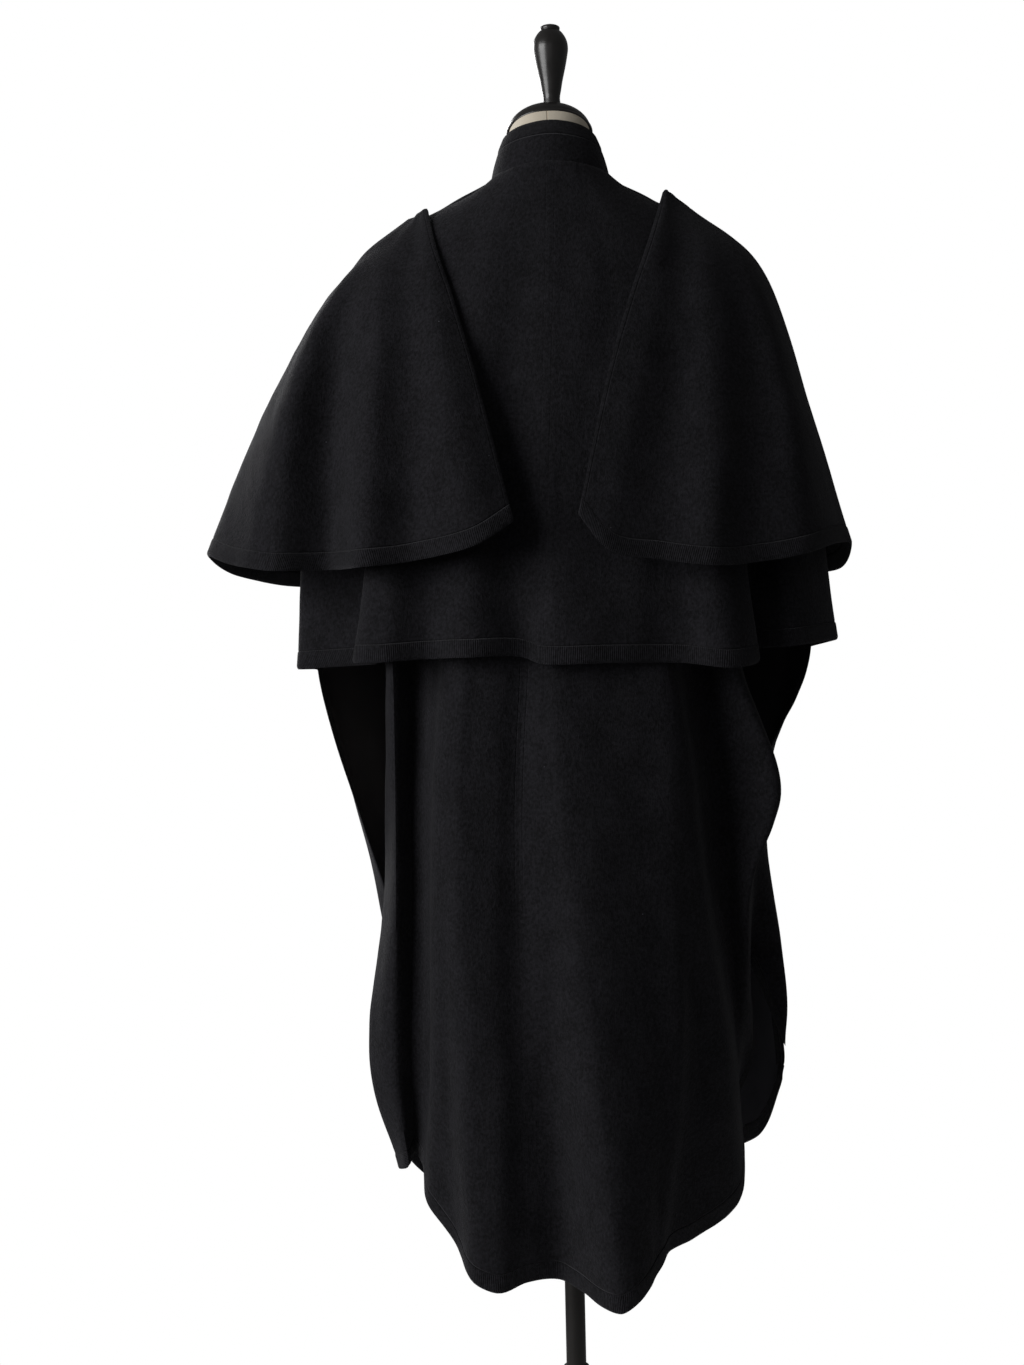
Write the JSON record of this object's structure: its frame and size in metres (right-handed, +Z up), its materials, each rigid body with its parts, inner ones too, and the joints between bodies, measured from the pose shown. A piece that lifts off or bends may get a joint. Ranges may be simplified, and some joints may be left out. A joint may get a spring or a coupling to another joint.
{
  "type": "wool cape coat on a limbless dress form",
  "caption": "Black wool cape coat with stand collar, shoulder wings, mid cape and long curved panels, standing on a limbless dress form with pole and round base.",
  "frame": {"origin": "centre of the stand's base on the floor, under the pole", "axes": "+Z up the pole, -Y the way the wearer faces, +X the wearer's left"},
  "size_m": [0.6861, 0.3981, 1.616],
  "materials": {
    "wool": "napped black wool coating with a soft sheen",
    "calico": "plain cream calico",
    "lacquer": "black satin lacquer on turned wood",
    "steel": "dark satin paint on steel",
    "horn": "polished black horn"
  },
  "bodies": {
    "root": {"collar": "wool", "back_left": "wool", "back_right": "wool", "front_left": "wool", "front_right": "wool", "cape_left": "wool", "cape_right": "wool", "wing_left": "wool", "wing_right": "wool", "button_1": "horn", "button_2": "horn", "button_3": "horn", "button_4": "horn", "form_torso": "calico", "neck_cap": "lacquer", "finial": "lacquer", "pole": "steel", "base": "steel"}
  },
  "joints": []
}
